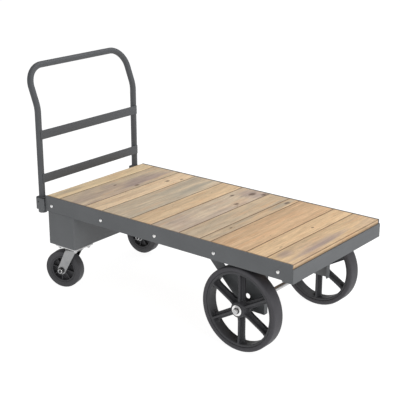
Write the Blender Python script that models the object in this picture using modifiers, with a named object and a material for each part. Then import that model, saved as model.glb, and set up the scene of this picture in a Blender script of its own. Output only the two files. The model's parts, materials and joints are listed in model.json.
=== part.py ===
"""Platform cart: a plank deck in a steel angle frame, two big spoked wheels on a fixed axle,
two swivel casters under a riser box, and a lift-out push handle in two sockets.

Axes: +X points from the handle to the big wheels, +Y to the left side, +Z up, ground at z = 0.
Everything hangs from one empty, which sets the deck so that the whole cart is centred on the origin.
"""

import math

import bmesh
import bpy
from mathutils import Matrix, Vector

# ---- driving dimensions, in metres ------------------------------------------------------------
GAP = 0.0003                    # kept between pieces that touch

DECK_LENGTH = 1.198
DECK_WIDTH = 0.589
DECK_TOP = 0.3914
SHEET = 0.0045                  # steel of the rails
SIDE_RAIL_HEIGHT = 0.0637
SIDE_RAIL_LIP = 0.045
END_RAIL_HEIGHT = 0.0525
END_RAIL_LIP = 0.045
FRONT_RAIL_DROP = 0.016         # top of the wheel-end rail below the deck's top

BOARD_THICKNESS = 0.028
BOARD_SEAM = 0.0012
BOARD_MARGIN = 0.0008           # between the boards and the steel round them
BOARD_WIDTHS = (0.074, 0.142, 0.091, 0.146, 0.104, 0.135, 0.097, 0.048, 0.157, 0.085, 0.109)

CROSS_MEMBER_SPOTS = (-0.562, -0.289, -0.015, 0.262, 0.537)
CROSS_MEMBER_WIDTH = 0.050
CROSS_MEMBER_SHEET = 0.003
SIDE_BOLT_DROP = 0.038          # side bolts below the deck's top
SIDE_BOLT_SHANK = 0.004         # radius
SIDE_BOLT_HEAD = 0.0072         # radius

WHEEL_RADIUS = 0.1595
WHEEL_WIDTH = 0.0523
WHEEL_X = 0.364
WHEEL_OUTER_FACE = 0.285        # from the middle of the cart
TYRE_INNER_RADIUS = 0.1425
TYRE_SHOULDER = 0.005
RIM_INNER_RADIUS = 0.1325
HUB_RADIUS = 0.030
HUB_HALF = 0.030
SPOKES = 6
SPOKE_WEB = (0.027, 0.010)      # width round the wheel and thickness along the axle
SPOKE_RIB = (0.009, 0.040)
WASHER_RADIUS = 0.0205
WASHER_SHEET = 0.0028
COTTER_RADIUS = 0.0017
COTTER_INSET = 0.0030           # pin's axis beyond the washer
AXLE_RADIUS = 0.0095
AXLE_HALF = 0.3035

HANGER_OUTER = 0.220            # outer face of the axle hanger, from the middle
HANGER_DEPTH = 0.020
HANGER_SHEET = 0.0045
HANGER_FRONT_X = 0.434
HANGER_BOTTOM_Z = 0.1366
HANGER_FOOT_X = 0.3405          # lower end of its slanted rear edge
HANGER_SLOPE = 0.983            # run over rise of that edge
SPARE_HOLE = (0.3606, 0.1905)   # x and z of the small hole above the axle
SPARE_HOLE_RADIUS = 0.0105
HANGER_SLOT_X = (0.268, 0.335)  # centres of the slot's round ends
HANGER_SLOT_Z = 0.3008
HANGER_SLOT_RADIUS = 0.023

CASTER_RADIUS = 0.0783
CASTER_WIDTH = 0.0420
CASTER_SHOULDER = 0.004
CASTER_BAND = 0.0555            # radius where the tread meets the core
CASTER_Y = 0.2385
CASTER_SWIVEL_X = -0.4985
CASTER_TRAIL = 0.047
CASTER_TURN = {"left": math.radians(5), "right": math.radians(16.6)}
PLATE_HALF_LENGTH = 0.057
PLATE_HALF_WIDTH = 0.051
PLATE_SHEET = 0.006
KINGPIN_RADIUS = 0.0080
KINGPIN_NUT_RADIUS = 0.0125
CROWN_TOP = 0.1740
CROWN_SHEET = 0.0050
CROWN_RADIUS = 0.0370
LEG_INSIDE = 0.0310             # from the middle of the caster wheel
LEG_SHEET = 0.0050
LEG_TOP_X = (-0.0223, 0.0263)   # the leg's two edges under the crown, from the swivel axis
LEG_TIP_OFFSET = (0.0028, 0.0020)
LEG_TIP_RADIUS = 0.0180
CASTER_AXLE_RADIUS = 0.0063

RISER_FRONT_X = -0.4415
RISER_REAR_X = -0.583
RISER_BOTTOM_Z = 0.1905
RISER_SHEET = 0.0035

TUBE_RADIUS = 0.0130
POST_X = -0.6308
POST_Y = 0.2791
HANDLE_BEND_Z = 0.7446          # the posts lean back above this height
HANDLE_BEND_RADIUS = 0.119
HANDLE_TOP_Z = 0.8994
HANDLE_LEAN = 0.0586
HANDLE_CORNER = 0.0814          # radius of the two top corners
CROSSBAR_OVERLAP = 0.0045       # how far its ends pass the middles of the posts
CROSSBAR_HEIGHTS = (0.456, 0.636)
CROSSBAR_TALL = 0.037
CROSSBAR_SHEET = 0.0032
SOCKET_BOTTOM_Z = 0.311
SOCKET_RADIUS = 0.018
STRAP_HALF = 0.0225
STRAP_CORNER = 0.016
STRAP_SHEET = 0.004

# ---- worked out from them ---------------------------------------------------------------------
HALF_LENGTH = DECK_LENGTH / 2
HALF_WIDTH = DECK_WIDTH / 2
REAR_END = POST_X - HANDLE_LEAN - TUBE_RADIUS
CENTRING = -(HALF_LENGTH + REAR_END) / 2
RAIL_BOTTOM = DECK_TOP - SIDE_RAIL_HEIGHT
RAIL_INSIDE = HALF_WIDTH - SHEET
BOARD_BOTTOM = DECK_TOP - BOARD_THICKNESS
CROSS_MEMBER_TOP = BOARD_BOTTOM - GAP
CROSS_MEMBER_BOTTOM = RAIL_BOTTOM + SHEET + GAP
SIDE_BOLT_Z = DECK_TOP - SIDE_BOLT_DROP
FRONT_RAIL_BOTTOM = RAIL_BOTTOM - GAP - SHEET
WHEEL_Y = WHEEL_OUTER_FACE - WHEEL_WIDTH / 2
WASHER_Y = WHEEL_Y + HUB_HALF + GAP + WASHER_SHEET / 2
COTTER_Y = WASHER_Y + WASHER_SHEET / 2 + COTTER_INSET
HANGER_TOP = RAIL_BOTTOM + SHEET + GAP
PLATE_TOP = RISER_BOTTOM_Z - GAP
AXLE_DROP = CASTER_RADIUS - CROWN_TOP       # caster axle below the crown
SIDES = {"left": 1, "right": -1}

# ---- collections, materials and small tools ---------------------------------------------------


def clear_scene():
    for obj in list(bpy.data.objects):
        bpy.data.objects.remove(obj, do_unlink=True)


def new_collection(name):
    collection = bpy.data.collections.new(name)
    bpy.context.scene.collection.children.link(collection)
    return collection


def material(name, colour, roughness, metallic):
    mat = bpy.data.materials.new(name)
    mat.use_nodes = True
    shader = mat.node_tree.nodes["Principled BSDF"]
    shader.inputs["Base Color"].default_value = (*colour, 1)
    shader.inputs["Roughness"].default_value = roughness
    shader.inputs["Metallic"].default_value = metallic
    return mat


clear_scene()
CART = new_collection("platform_cart")
CUTTERS = new_collection("cutters")
ORIGIN = bpy.data.objects.new("deck_middle", None)
ORIGIN.location = (CENTRING, 0, 0)
CART.objects.link(ORIGIN)

FRAME_PAINT = material("frame_paint", (0.125, 0.13, 0.135), 0.45, 0.0)
HANDLE_PAINT = material("handle_paint", (0.095, 0.10, 0.105), 0.45, 0.0)
PALE_WOOD = material("pale_board", (0.62, 0.44, 0.27), 0.6, 0.0)
GREY_WOOD = material("grey_board", (0.47, 0.40, 0.33), 0.6, 0.0)
ORANGE_WOOD = material("orange_board", (0.60, 0.38, 0.22), 0.6, 0.0)
RUBBER = material("wheel_rubber", (0.045, 0.045, 0.047), 0.7, 0.0)
CASTING = material("wheel_casting", (0.055, 0.055, 0.058), 0.5, 0.0)
ZINC = material("zinc_plate", (0.62, 0.62, 0.63), 0.32, 1.0)
BOARD_WOODS = (
    PALE_WOOD, GREY_WOOD, PALE_WOOD, GREY_WOOD, ORANGE_WOOD, GREY_WOOD,
    PALE_WOOD, GREY_WOOD, ORANGE_WOOD, PALE_WOOD, PALE_WOOD,
)


def finish(obj, mat, parent=ORIGIN):
    """Give a finished piece its material, its place under a parent and smooth round faces."""
    obj.data.materials.clear()
    obj.data.materials.append(mat)
    obj.parent = parent
    for collection in list(obj.users_collection):
        collection.objects.unlink(obj)
    CART.objects.link(obj)
    obj.data.shade_smooth()
    obj.data.set_sharp_from_angle(angle=math.radians(35))
    return obj


def bevel(obj, width, segments=1):
    mod = obj.modifiers.new("edges", "BEVEL")
    mod.width = width
    mod.segments = segments
    mod.limit_method = "ANGLE"
    return obj


def box(name, low, high):
    """A box between two corners, with its origin at its middle."""
    bpy.ops.mesh.primitive_cube_add(size=1)
    obj = bpy.context.object
    obj.name = name
    low, high = Vector(low), Vector(high)
    obj.data.transform(Matrix.Diagonal((*(high - low), 1)))
    obj.location = (low + high) / 2
    return obj


def rod(name, radius, low, high, axis, place, sides=24):
    """A cylinder along Y or Z, between two stations of that axis, through a place."""
    bpy.ops.mesh.primitive_cylinder_add(radius=radius, depth=high - low, vertices=sides)
    obj = bpy.context.object
    obj.name = name
    if axis == "Y":
        obj.data.transform(Matrix.Rotation(-math.pi / 2, 4, "X"))
        obj.location = (place[0], (low + high) / 2, place[1])
    else:
        obj.location = (place[0], place[1], (low + high) / 2)
    return obj


def turned(name, profile, steps, place=(0, 0, 0), axis="Z"):
    """A solid turned about Z, or about Y, from (radius, station) points running top to bottom."""
    mesh = bpy.data.meshes.new(name)
    points = [(radius, 0, station) for radius, station in profile]
    if profile[0][0] > 0:
        points.append(points[0])
    edges = [(n, n + 1) for n in range(len(points) - 1)]
    mesh.from_pydata(points, edges, [])
    obj = bpy.data.objects.new(name, mesh)
    CUTTERS.objects.link(obj)
    screw = obj.modifiers.new("turn", "SCREW")
    screw.steps = steps
    screw.render_steps = steps
    screw.use_merge_vertices = True
    screw.merge_threshold = 0.00005
    obj = as_mesh(obj, weld=True)
    if axis == "Y":
        obj.data.transform(Matrix.Rotation(-math.pi / 2, 4, "X"))
    obj.location = place
    return obj


def as_mesh(obj, weld=False):
    """The object with its modifiers or its curve worked out, as a plain mesh object."""
    bpy.context.view_layer.update()
    graph = bpy.context.evaluated_depsgraph_get()
    mesh = bpy.data.meshes.new_from_object(obj.evaluated_get(graph))
    if weld:
        work = bmesh.new()
        work.from_mesh(mesh)
        bmesh.ops.remove_doubles(work, verts=work.verts, dist=0.00002)
        bmesh.ops.recalc_face_normals(work, faces=work.faces)
        work.to_mesh(mesh)
        work.free()
    name = obj.name
    new = bpy.data.objects.new(name + "_mesh", mesh)
    new.matrix_world = obj.matrix_world
    bpy.data.objects.remove(obj)
    new.name = name
    CUTTERS.objects.link(new)
    return new


def plate(name, outlines, thickness, plane="XZ"):
    """A flat plate from closed outlines, the first its edge and the others its holes.

    In plane XZ it is centred on y = 0 and in plane XY on z = 0.
    """
    curve = bpy.data.curves.new(name, "CURVE")
    curve.dimensions = "2D"
    curve.fill_mode = "BOTH"
    curve.extrude = thickness / 2
    for outline in outlines:
        spline = curve.splines.new("POLY")
        spline.points.add(len(outline) - 1)
        for point, (u, v) in zip(spline.points, outline):
            point.co = (u, v, 0, 1)
        spline.use_cyclic_u = True
    obj = bpy.data.objects.new(name, curve)
    CUTTERS.objects.link(obj)
    obj = as_mesh(obj, weld=True)
    if plane == "XZ":
        obj.data.transform(Matrix.Rotation(math.pi / 2, 4, "X"))
    return obj


def boolean(obj, other, operation):
    """Join another piece to an object or cut it away, and keep the result as a plain mesh."""
    for piece in (obj, other):
        if piece.name not in CUTTERS.objects:
            CUTTERS.objects.link(piece)
    mod = obj.modifiers.new("join", "BOOLEAN")
    mod.operation = operation
    mod.solver = "EXACT"
    mod.object = other
    result = as_mesh(obj)
    bpy.data.objects.remove(other)
    return result


def join(obj, *others):
    for other in others:
        obj = boolean(obj, other, "UNION")
    return obj


def cut(obj, *others):
    for other in others:
        obj = boolean(obj, other, "DIFFERENCE")
    return obj


def circle(centre, radius, points=24, start=0.0, turn=math.tau):
    """Points round a circle, or along an arc of it when the turn is less than a full one."""
    count = points if abs(turn) >= math.tau else points + 1
    angles = [start + turn * n / points for n in range(count)]
    return [(centre[0] + radius * math.cos(a), centre[1] + radius * math.sin(a)) for a in angles]


def pivot(name, place, parent=ORIGIN, turn=0.0):
    """An empty on a joint's axis, which carries the pieces that move together."""
    empty = bpy.data.objects.new(name, None)
    empty.location = place
    empty.rotation_euler.z = turn
    empty.parent = parent
    CART.objects.link(empty)
    return empty


# ---- frame ------------------------------------------------------------------------------------


def bolt_hole(spot, low, high):
    """Cutter along Y for the side bolts of one cross member."""
    return rod("hole", SIDE_BOLT_SHANK + GAP, low, high, "Y", (spot, SIDE_BOLT_Z), 10)


def side_rail(side, sign):
    """Angle with its tall leg outside and its lip turned in under the cross members."""
    rail = box(
        f"side_rail_{side}",
        (-HALF_LENGTH + SHEET + GAP, RAIL_INSIDE, RAIL_BOTTOM),
        (HALF_LENGTH - SHEET - GAP, HALF_WIDTH, DECK_TOP),
    )
    lip = box(
        "lip",
        (-HALF_LENGTH + SHEET + GAP, HALF_WIDTH - SIDE_RAIL_LIP, RAIL_BOTTOM),
        (HALF_LENGTH - SHEET - GAP, HALF_WIDTH - SHEET / 2, RAIL_BOTTOM + SHEET),
    )
    rail = join(rail, lip)
    for spot in CROSS_MEMBER_SPOTS:
        rail = cut(rail, bolt_hole(spot, RAIL_INSIDE - 0.01, HALF_WIDTH + 0.01))
    mirror_side(rail, sign)
    finish(rail, FRAME_PAINT)


def mirror_side(obj, sign):
    """Bake the object's place into its mesh and, for the right side, mirror it across y = 0."""
    obj.data.transform(obj.matrix_world)
    obj.matrix_world = Matrix.Identity(4)
    if sign < 0:
        obj.data.transform(Matrix.Diagonal((1, -1, 1, 1)))
        obj.data.flip_normals()


def end_rails():
    """The wheel-end angle laps under the side rails' lips; the handle-end one sits between them."""
    front_leg = box(
        "end_rail_front",
        (HALF_LENGTH - SHEET, -HALF_WIDTH, FRONT_RAIL_BOTTOM),
        (HALF_LENGTH, HALF_WIDTH, DECK_TOP - FRONT_RAIL_DROP),
    )
    front_lip = box(
        "lip",
        (HALF_LENGTH - END_RAIL_LIP, -HALF_WIDTH, FRONT_RAIL_BOTTOM),
        (HALF_LENGTH - SHEET / 2, HALF_WIDTH, FRONT_RAIL_BOTTOM + SHEET),
    )
    finish(bevel(join(front_leg, front_lip), 0.0012), FRAME_PAINT)
    inner = HALF_WIDTH - SIDE_RAIL_LIP - 0.0016
    rear_leg = box(
        "end_rail_rear",
        (-HALF_LENGTH, -HALF_WIDTH, RAIL_BOTTOM),
        (-HALF_LENGTH + SHEET, HALF_WIDTH, DECK_TOP - FRONT_RAIL_DROP),
    )
    rear_lip = box(
        "lip",
        (-HALF_LENGTH + SHEET / 2, -inner, RAIL_BOTTOM),
        (-HALF_LENGTH + END_RAIL_LIP, inner, RAIL_BOTTOM + SHEET),
    )
    finish(bevel(join(rear_leg, rear_lip), 0.0012), FRAME_PAINT)


def cross_member(number, spot):
    """Folded tray, open below, with a bolt hole in each turned-down end."""
    half = CROSS_MEMBER_WIDTH / 2
    end = RAIL_INSIDE - GAP
    member = box(
        f"cross_member_{number}",
        (spot - half, -end, CROSS_MEMBER_BOTTOM),
        (spot + half, end, CROSS_MEMBER_TOP),
    )
    inside = box(
        "inside",
        (spot - half + CROSS_MEMBER_SHEET, -end + CROSS_MEMBER_SHEET, CROSS_MEMBER_BOTTOM - 0.01),
        (spot + half - CROSS_MEMBER_SHEET, end - CROSS_MEMBER_SHEET, CROSS_MEMBER_TOP - CROSS_MEMBER_SHEET),
    )
    finish(cut(member, inside, bolt_hole(spot, -end - 0.01, end + 0.01)), FRAME_PAINT)


def side_bolt(side, sign, number, spot):
    """Round-headed bolt through the rail and the cross member's end, with its nut inside."""
    outside = HALF_WIDTH + GAP
    inside = RAIL_INSIDE - 2 * GAP - CROSS_MEMBER_SHEET
    head, shank, nut = SIDE_BOLT_HEAD, SIDE_BOLT_SHANK, 0.0060
    profile = [
        (0, outside + 0.0040),
        (head * 0.72, outside + 0.0028),
        (head, outside),
        (shank, outside),
        (shank, inside),
        (nut, inside),
        (nut, inside - 0.0065),
        (0, inside - 0.0065),
    ]
    bolt = turned(f"side_bolt_{side}_{number}", profile, 10, (spot, 0, SIDE_BOLT_Z), "Y")
    if sign < 0:
        bolt.data.transform(Matrix.Rotation(math.pi, 4, "Z"))
    finish(bolt, ZINC)


def deck_boards():
    """Boards of unlike widths laid across the deck, with a narrow seam between neighbours."""
    half = RAIL_INSIDE - BOARD_MARGIN
    room = DECK_LENGTH - 2 * (SHEET + BOARD_MARGIN)
    scale = (room - BOARD_SEAM * (len(BOARD_WIDTHS) - 1)) / sum(BOARD_WIDTHS)
    edge = -room / 2
    for number, (width, wood) in enumerate(zip(BOARD_WIDTHS, BOARD_WOODS), start=1):
        low = (edge, -half, BOARD_BOTTOM)
        high = (edge + width * scale, half, DECK_TOP)
        finish(bevel(box(f"deck_board_{number:02d}", low, high), 0.0010), wood)
        edge += width * scale + BOARD_SEAM


def riser_box():
    """Folded box under the handle end, open on top, that carries the casters."""
    top = RAIL_BOTTOM - GAP
    riser = box("riser_box", (RISER_REAR_X, -HALF_WIDTH, RISER_BOTTOM_Z), (RISER_FRONT_X, HALF_WIDTH, top))
    inside = box(
        "inside",
        (RISER_REAR_X + RISER_SHEET, -HALF_WIDTH + RISER_SHEET, RISER_BOTTOM_Z + RISER_SHEET),
        (RISER_FRONT_X - RISER_SHEET, HALF_WIDTH - RISER_SHEET, top + 0.01),
    )
    finish(bevel(cut(riser, inside), 0.0010), FRAME_PAINT)


# ---- big wheels -------------------------------------------------------------------------------


def hanger_outline():
    """Edge of the hanger's web: upright in front, flat below, slanting back up to the rail."""
    head_x = HANGER_FOOT_X - (HANGER_TOP - HANGER_BOTTOM_Z) * HANGER_SLOPE
    return [
        (HANGER_FRONT_X, HANGER_TOP),
        (head_x, HANGER_TOP),
        (HANGER_FOOT_X, HANGER_BOTTOM_Z),
        (HANGER_FRONT_X, HANGER_BOTTOM_Z),
    ]


def slot(ends_x, z, radius, points=6):
    """A level slot with round ends about two centres."""
    left = circle((ends_x[0], z), radius, points, math.pi / 2, math.pi)
    right = circle((ends_x[1], z), radius, points, -math.pi / 2, math.pi)
    return right + left


def rear_flange(head, foot, inner, outer):
    """Flange along the slanted edge from head to foot, turned in between two stations of y."""
    start, end = Vector(head), Vector(foot)
    across = (end - start).normalized()
    inwards = Vector((-across.y, across.x)) * HANGER_SHEET
    outline = [tuple(point) for point in (start, end, end + inwards, start + inwards)]
    flange = plate("rear_flange", [outline], outer - inner)
    flange.location.y = (outer + inner) / 2
    return flange


def axle_hanger(side, sign):
    """Pressed hanger: a web with the axle hole, flanges turned in, and a seat on the rail's lip."""
    edge = hanger_outline()
    (_, head, foot, _) = edge
    middle = HANGER_OUTER - HANGER_SHEET / 2
    inner = HANGER_OUTER - HANGER_DEPTH
    holes = [
        circle((WHEEL_X, WHEEL_RADIUS), AXLE_RADIUS + 0.0004, 20),
        circle(SPARE_HOLE, SPARE_HOLE_RADIUS, 16),
        slot(HANGER_SLOT_X, HANGER_SLOT_Z, HANGER_SLOT_RADIUS),
    ]
    web = plate(f"axle_hanger_{side}", [edge] + holes, HANGER_SHEET)
    web.location.y = middle
    front_flange = box(
        "front_flange",
        (HANGER_FRONT_X - HANGER_SHEET, inner, HANGER_BOTTOM_Z),
        (HANGER_FRONT_X, middle, HANGER_TOP),
    )
    seat = box(
        "seat",
        (head[0], middle, HANGER_TOP),
        (HANGER_FRONT_X, RAIL_INSIDE - 0.002, HANGER_TOP + HANGER_SHEET),
    )
    hanger = join(web, front_flange, rear_flange(head, foot, inner, middle), seat)
    for spot in CROSS_MEMBER_SPOTS:
        room = CROSS_MEMBER_WIDTH / 2 + 0.001
        notch = box("notch", (spot - room, 0, HANGER_TOP - 0.0001), (spot + room, 0.5, HANGER_TOP + 0.02))
        hanger = cut(hanger, notch)
    mirror_side(hanger, sign)
    finish(hanger, FRAME_PAINT)


def axle():
    """Bar through both hangers, with a cross hole near each end for its pin."""
    bar = rod("axle", AXLE_RADIUS, -AXLE_HALF, AXLE_HALF, "Y", (WHEEL_X, WHEEL_RADIUS), 20)
    low, high = WHEEL_RADIUS - 2 * AXLE_RADIUS, WHEEL_RADIUS + 2 * AXLE_RADIUS
    for sign in SIDES.values():
        place = (WHEEL_X, sign * COTTER_Y)
        bar = cut(bar, rod("hole", COTTER_RADIUS + 0.0004, low, high, "Z", place, 8))
    finish(bar, ZINC)


def tyre_profile():
    """Solid rubber tyre: flat tread, rounded shoulders, and sidewalls that step in to the rim."""
    half = WHEEL_WIDTH / 2
    centre = (half - TYRE_SHOULDER, WHEEL_RADIUS - TYRE_SHOULDER)
    outer = [(radius, station) for station, radius in circle(centre, TYRE_SHOULDER, 2, 0, math.pi / 2)]
    lower = [(radius, -station) for radius, station in reversed(outer)]
    return [(TYRE_INNER_RADIUS, half - 0.002)] + outer + lower + [(TYRE_INNER_RADIUS, -half + 0.002)]


def wheel_casting():
    """Spoked casting: rim, hub with a bore, and six spokes of plus-shaped section."""
    rim_half = WHEEL_WIDTH / 2 - 0.003
    rim = turned(
        "rim",
        [
            (RIM_INNER_RADIUS, rim_half),
            (TYRE_INNER_RADIUS - GAP, rim_half),
            (TYRE_INNER_RADIUS - GAP, -rim_half),
            (RIM_INNER_RADIUS, -rim_half),
        ],
        48,
    )
    bore = AXLE_RADIUS + 0.0005
    hub = turned(
        "hub",
        [
            (bore, HUB_HALF),
            (HUB_RADIUS - 0.004, HUB_HALF),
            (HUB_RADIUS, HUB_HALF - 0.006),
            (HUB_RADIUS, -HUB_HALF + 0.006),
            (HUB_RADIUS - 0.004, -HUB_HALF),
            (bore, -HUB_HALF),
        ],
        24,
    )
    reach_in, reach_out = HUB_RADIUS - 0.004, RIM_INNER_RADIUS + 0.004
    for n in range(SPOKES):
        turn = Matrix.Rotation(math.tau * n / SPOKES, 4, "Z")
        blades = []
        for width, thickness in (SPOKE_WEB, SPOKE_RIB):
            low = (reach_in, -width / 2, -thickness / 2)
            high = (reach_out, width / 2, thickness / 2)
            blade = box("blade", low, high)
            blade.data.transform(turn @ Matrix.Translation(blade.location))
            blade.location = (0, 0, 0)
            blades.append(blade)
        rim = join(rim, join(*blades))
    casting = join(rim, hub)
    casting.data.transform(Matrix.Rotation(-math.pi / 2, 4, "X") @ Matrix.Rotation(math.pi / 2, 4, "Z"))
    return casting


def big_wheels():
    """Each wheel, its washer and its pin, on an empty at the middle of the wheel."""
    casting = wheel_casting()
    mesh = casting.data
    bpy.data.objects.remove(casting)
    for side, sign in SIDES.items():
        hub = pivot(f"wheel_{side}_spin", (WHEEL_X, sign * WHEEL_Y, WHEEL_RADIUS))
        finish(turned(f"wheel_{side}_tyre", tyre_profile(), 48, (0, 0, 0), "Y"), RUBBER, hub)
        finish(bpy.data.objects.new(f"wheel_{side}_casting", mesh), CASTING, hub)
        washer = turned(
            f"wheel_{side}_washer",
            [
                (AXLE_RADIUS + 0.0005, WASHER_SHEET / 2),
                (WASHER_RADIUS, WASHER_SHEET / 2),
                (WASHER_RADIUS, -WASHER_SHEET / 2),
                (AXLE_RADIUS + 0.0005, -WASHER_SHEET / 2),
            ],
            20,
            (WHEEL_X, sign * WASHER_Y, WHEEL_RADIUS),
            "Y",
        )
        finish(washer, ZINC)
        cotter_pin(side, sign)


def cotter_pin(side, sign):
    """Split pin through the axle: round shank, eye on top."""
    y = sign * COTTER_Y
    low, high = WHEEL_RADIUS - 0.0160, WHEEL_RADIUS + 0.0125
    shank = rod(f"cotter_pin_{side}", COTTER_RADIUS, low, high, "Z", (WHEEL_X, y), 8)
    bpy.ops.mesh.primitive_torus_add(
        major_radius=0.0034,
        minor_radius=0.0014,
        major_segments=12,
        minor_segments=6,
        rotation=(math.pi / 2, 0, 0),
        location=(WHEEL_X, y, high + 0.0027),
    )
    finish(join(shank, bpy.context.object), ZINC)


# ---- casters ----------------------------------------------------------------------------------


def caster_plate(side, place):
    """Top plate with the upper race and the kingpin in one piece."""
    x, y = place
    under = PLATE_TOP - PLATE_SHEET
    crown_bottom = CROWN_TOP - CROWN_SHEET
    slab = box(
        f"caster_{side}_plate",
        (x - PLATE_HALF_LENGTH, y - PLATE_HALF_WIDTH, under),
        (x + PLATE_HALF_LENGTH, y + PLATE_HALF_WIDTH, PLATE_TOP),
    )
    pin = turned(
        "kingpin",
        [
            (0, under + 0.003),
            (0.033, under + 0.003),
            (0.035, under - 0.003),
            (0.035, CROWN_TOP + 0.0035),
            (0.030, CROWN_TOP + GAP),
            (KINGPIN_RADIUS, CROWN_TOP + GAP),
            (KINGPIN_RADIUS, crown_bottom - GAP),
            (KINGPIN_NUT_RADIUS, crown_bottom - GAP),
            (KINGPIN_NUT_RADIUS, crown_bottom - 0.0085),
            (0, crown_bottom - 0.0085),
        ],
        24,
        (x, y, 0),
    )
    finish(join(as_mesh(bevel(slab, 0.0010)), pin), ZINC)


def leg_outline():
    """Fork leg: wide under the crown, leaning back and narrowing to a round end at the axle."""
    rear, front = LEG_TOP_X
    centre = (LEG_TIP_OFFSET[0] - CASTER_TRAIL, LEG_TIP_OFFSET[1] + AXLE_DROP)
    tip = circle(centre, LEG_TIP_RADIUS, 7, math.radians(156), math.radians(176))
    return [(front, -GAP), (rear, -GAP)] + tip


def caster_fork(side, swivel):
    """Swivel fork: crown disc with a hole for the kingpin, and two leaning legs."""
    crown = turned(
        f"caster_{side}_fork",
        [
            (KINGPIN_RADIUS + 0.0008, 0),
            (CROWN_RADIUS - 0.0035, 0),
            (CROWN_RADIUS, -0.0020),
            (CROWN_RADIUS, -CROWN_SHEET),
            (KINGPIN_RADIUS + 0.0008, -CROWN_SHEET),
        ],
        24,
    )
    rear, front = LEG_TOP_X
    reach = LEG_INSIDE + LEG_SHEET / 2
    shoulder = box("shoulder", (rear + 0.001, -reach, -0.0045), (front - 0.001, reach, -0.0006))
    crown = join(crown, cut(shoulder, rod("hole", 0.0180, -0.02, 0.02, "Z", (0, 0), 32)))
    for sign in (1, -1):
        axle_hole = circle((-CASTER_TRAIL, AXLE_DROP), CASTER_AXLE_RADIUS + GAP, 12)
        leg = plate("leg", [leg_outline(), axle_hole], LEG_SHEET)
        leg.location.y = sign * (LEG_INSIDE + LEG_SHEET / 2)
        crown = join(crown, leg)
    finish(crown, ZINC, swivel)


def caster_wheel(side, spin):
    """Rubber tread on a core with a hub that nearly fills the fork."""
    half = CASTER_WIDTH / 2
    upper = [
        (CASTER_BAND + GAP, half - 0.001),
        (CASTER_RADIUS - CASTER_SHOULDER, half),
        (CASTER_RADIUS - 0.3 * CASTER_SHOULDER, half - 0.3 * CASTER_SHOULDER),
        (CASTER_RADIUS, half - CASTER_SHOULDER),
    ]
    lower = [(radius, -station) for radius, station in reversed(upper)]
    finish(turned(f"caster_{side}_tread", upper + lower, 36, (0, 0, 0), "Y"), RUBBER, spin)
    bore, hub = CASTER_AXLE_RADIUS + 0.0005, 0.0190
    upper = [
        (bore, LEG_INSIDE - 0.001),
        (hub, LEG_INSIDE - 0.001),
        (hub + 0.002, 0.010),
        (0.0480, 0.010),
        (0.0495, half - 0.002),
        (CASTER_BAND, half - 0.002),
    ]
    lower = [(radius, -station) for radius, station in reversed(upper)]
    finish(turned(f"caster_{side}_core", upper + lower, 24, (0, 0, 0), "Y"), CASTING, spin)


def caster_axle(side, swivel):
    """Axle bolt through both legs, with a washer and a nut or head outside each."""
    leg_face = LEG_INSIDE + LEG_SHEET + GAP
    washer_face, end = leg_face + 0.0022, leg_face + 0.0105
    washer, nut = 0.0118, 0.0098
    upper = [
        (0, end),
        (nut, end),
        (nut, washer_face),
        (washer, washer_face),
        (washer, leg_face),
        (CASTER_AXLE_RADIUS, leg_face),
    ]
    lower = [(radius, -station) for radius, station in reversed(upper)]
    place = (-CASTER_TRAIL, 0, AXLE_DROP)
    finish(turned(f"caster_{side}_axle", upper + lower, 12, place, "Y"), ZINC, swivel)


def casters():
    """Both casters, each turned a little about its own swivel axis."""
    for side, sign in SIDES.items():
        place = (CASTER_SWIVEL_X, sign * CASTER_Y)
        caster_plate(side, place)
        swivel = pivot(f"caster_{side}_swivel", (*place, CROWN_TOP), turn=CASTER_TURN[side])
        caster_fork(side, swivel)
        caster_axle(side, swivel)
        caster_wheel(side, pivot(f"caster_{side}_spin", (-CASTER_TRAIL, 0, AXLE_DROP), swivel))


# ---- handle -----------------------------------------------------------------------------------


def rounded(points, radii, steps=6):
    """A polyline with each inner corner replaced by an arc of the given radius."""
    path = [points[0]]
    for before, corner, after, radius in zip(points, points[1:], points[2:], radii):
        back, ahead = (before - corner).normalized(), (after - corner).normalized()
        half = back.angle(ahead) / 2
        centre = corner + (back + ahead).normalized() * radius / math.sin(half)
        start = corner + back * radius / math.tan(half) - centre
        axis = ahead.cross(back).normalized()
        sweep = math.pi - 2 * half
        path += [centre + Matrix.Rotation(sweep * n / steps, 3, axis) @ start for n in range(steps + 1)]
    return path + [points[-1]]


def handle_frame(handle):
    """One bent tube: up one post, back and over the top, and down the other post."""
    bottom = SOCKET_BOTTOM_Z + 0.004 + GAP
    right = [
        Vector((POST_X, -POST_Y, bottom)),
        Vector((POST_X, -POST_Y, HANDLE_BEND_Z)),
        Vector((POST_X - HANDLE_LEAN, -POST_Y, HANDLE_TOP_Z)),
    ]
    left = [Vector((point.x, -point.y, point.z)) for point in reversed(right)]
    radii = (HANDLE_BEND_RADIUS, HANDLE_CORNER, HANDLE_CORNER, HANDLE_BEND_RADIUS)
    curve = bpy.data.curves.new("handle_frame", "CURVE")
    curve.dimensions = "3D"
    curve.bevel_depth = TUBE_RADIUS
    curve.bevel_resolution = 4
    curve.use_fill_caps = True
    spline = curve.splines.new("POLY")
    path = rounded(right + left, radii)
    spline.points.add(len(path) - 1)
    for point, place in zip(spline.points, path):
        point.co = (*place, 1)
    obj = bpy.data.objects.new("handle_frame", curve)
    CUTTERS.objects.link(obj)
    finish(as_mesh(obj, weld=True), HANDLE_PAINT, handle)


def crossbar(name, height, handle):
    """Flat bar across the wheel side of both posts."""
    face = POST_X + TUBE_RADIUS + GAP
    half = POST_Y + CROSSBAR_OVERLAP
    low = (face, -half, height - CROSSBAR_TALL / 2)
    high = (face + CROSSBAR_SHEET, half, height + CROSSBAR_TALL / 2)
    finish(bevel(box(name, low, high), 0.0008), HANDLE_PAINT, handle)


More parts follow.
